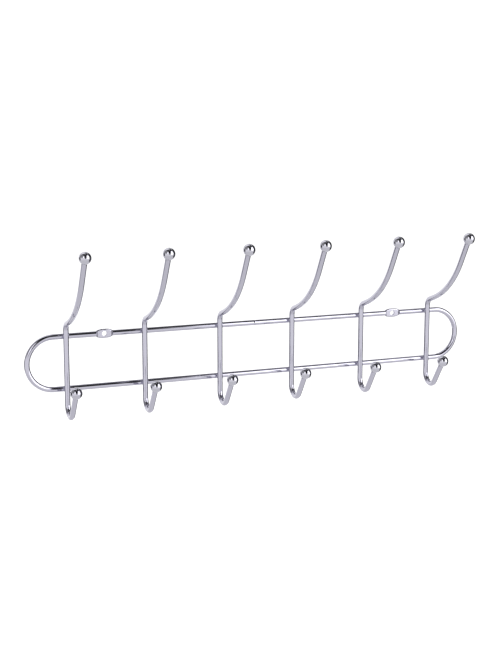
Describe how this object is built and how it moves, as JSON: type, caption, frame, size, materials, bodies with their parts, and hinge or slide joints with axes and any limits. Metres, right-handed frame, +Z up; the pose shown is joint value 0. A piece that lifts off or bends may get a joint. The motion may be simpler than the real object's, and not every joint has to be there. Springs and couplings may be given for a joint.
{
  "type": "wall hook rack",
  "caption": "Wall-hung wire rack: a long round-ended wire ring carries upright double hooks, each with a long forward-curving arm above, a small J hook below and a ball on each end.",
  "frame": {"origin": "on the wall plane, midway between the two screw eyes", "axes": "+X along the bars to the right as seen from the room, +Y into the wall, +Z up"},
  "size_m": [0.6026, 0.1208, 0.219],
  "materials": {
    "ring_chrome": "bright chromium plate on the round ring wire, with a softer shine on the pressed screw eyes",
    "wire_chrome": "bright chromium plate on the drawn hook wire, with faint draw lines along it",
    "ball_chrome": "mirror chromium plate on the polished steel balls"
  },
  "bodies": {
    "root": {"ring_wire": "ring_chrome", "hook_wire_1": "wire_chrome", "lower_ball_1": "ball_chrome", "upper_ball_1": "ball_chrome", "hook_wire_2": "wire_chrome", "lower_ball_2": "ball_chrome", "upper_ball_2": "ball_chrome", "hook_wire_3": "wire_chrome", "lower_ball_3": "ball_chrome", "upper_ball_3": "ball_chrome", "hook_wire_4": "wire_chrome", "lower_ball_4": "ball_chrome", "upper_ball_4": "ball_chrome", "hook_wire_5": "wire_chrome", "lower_ball_5": "ball_chrome", "upper_ball_5": "ball_chrome", "hook_wire_6": "wire_chrome", "lower_ball_6": "ball_chrome", "upper_ball_6": "ball_chrome"}
  },
  "joints": []
}
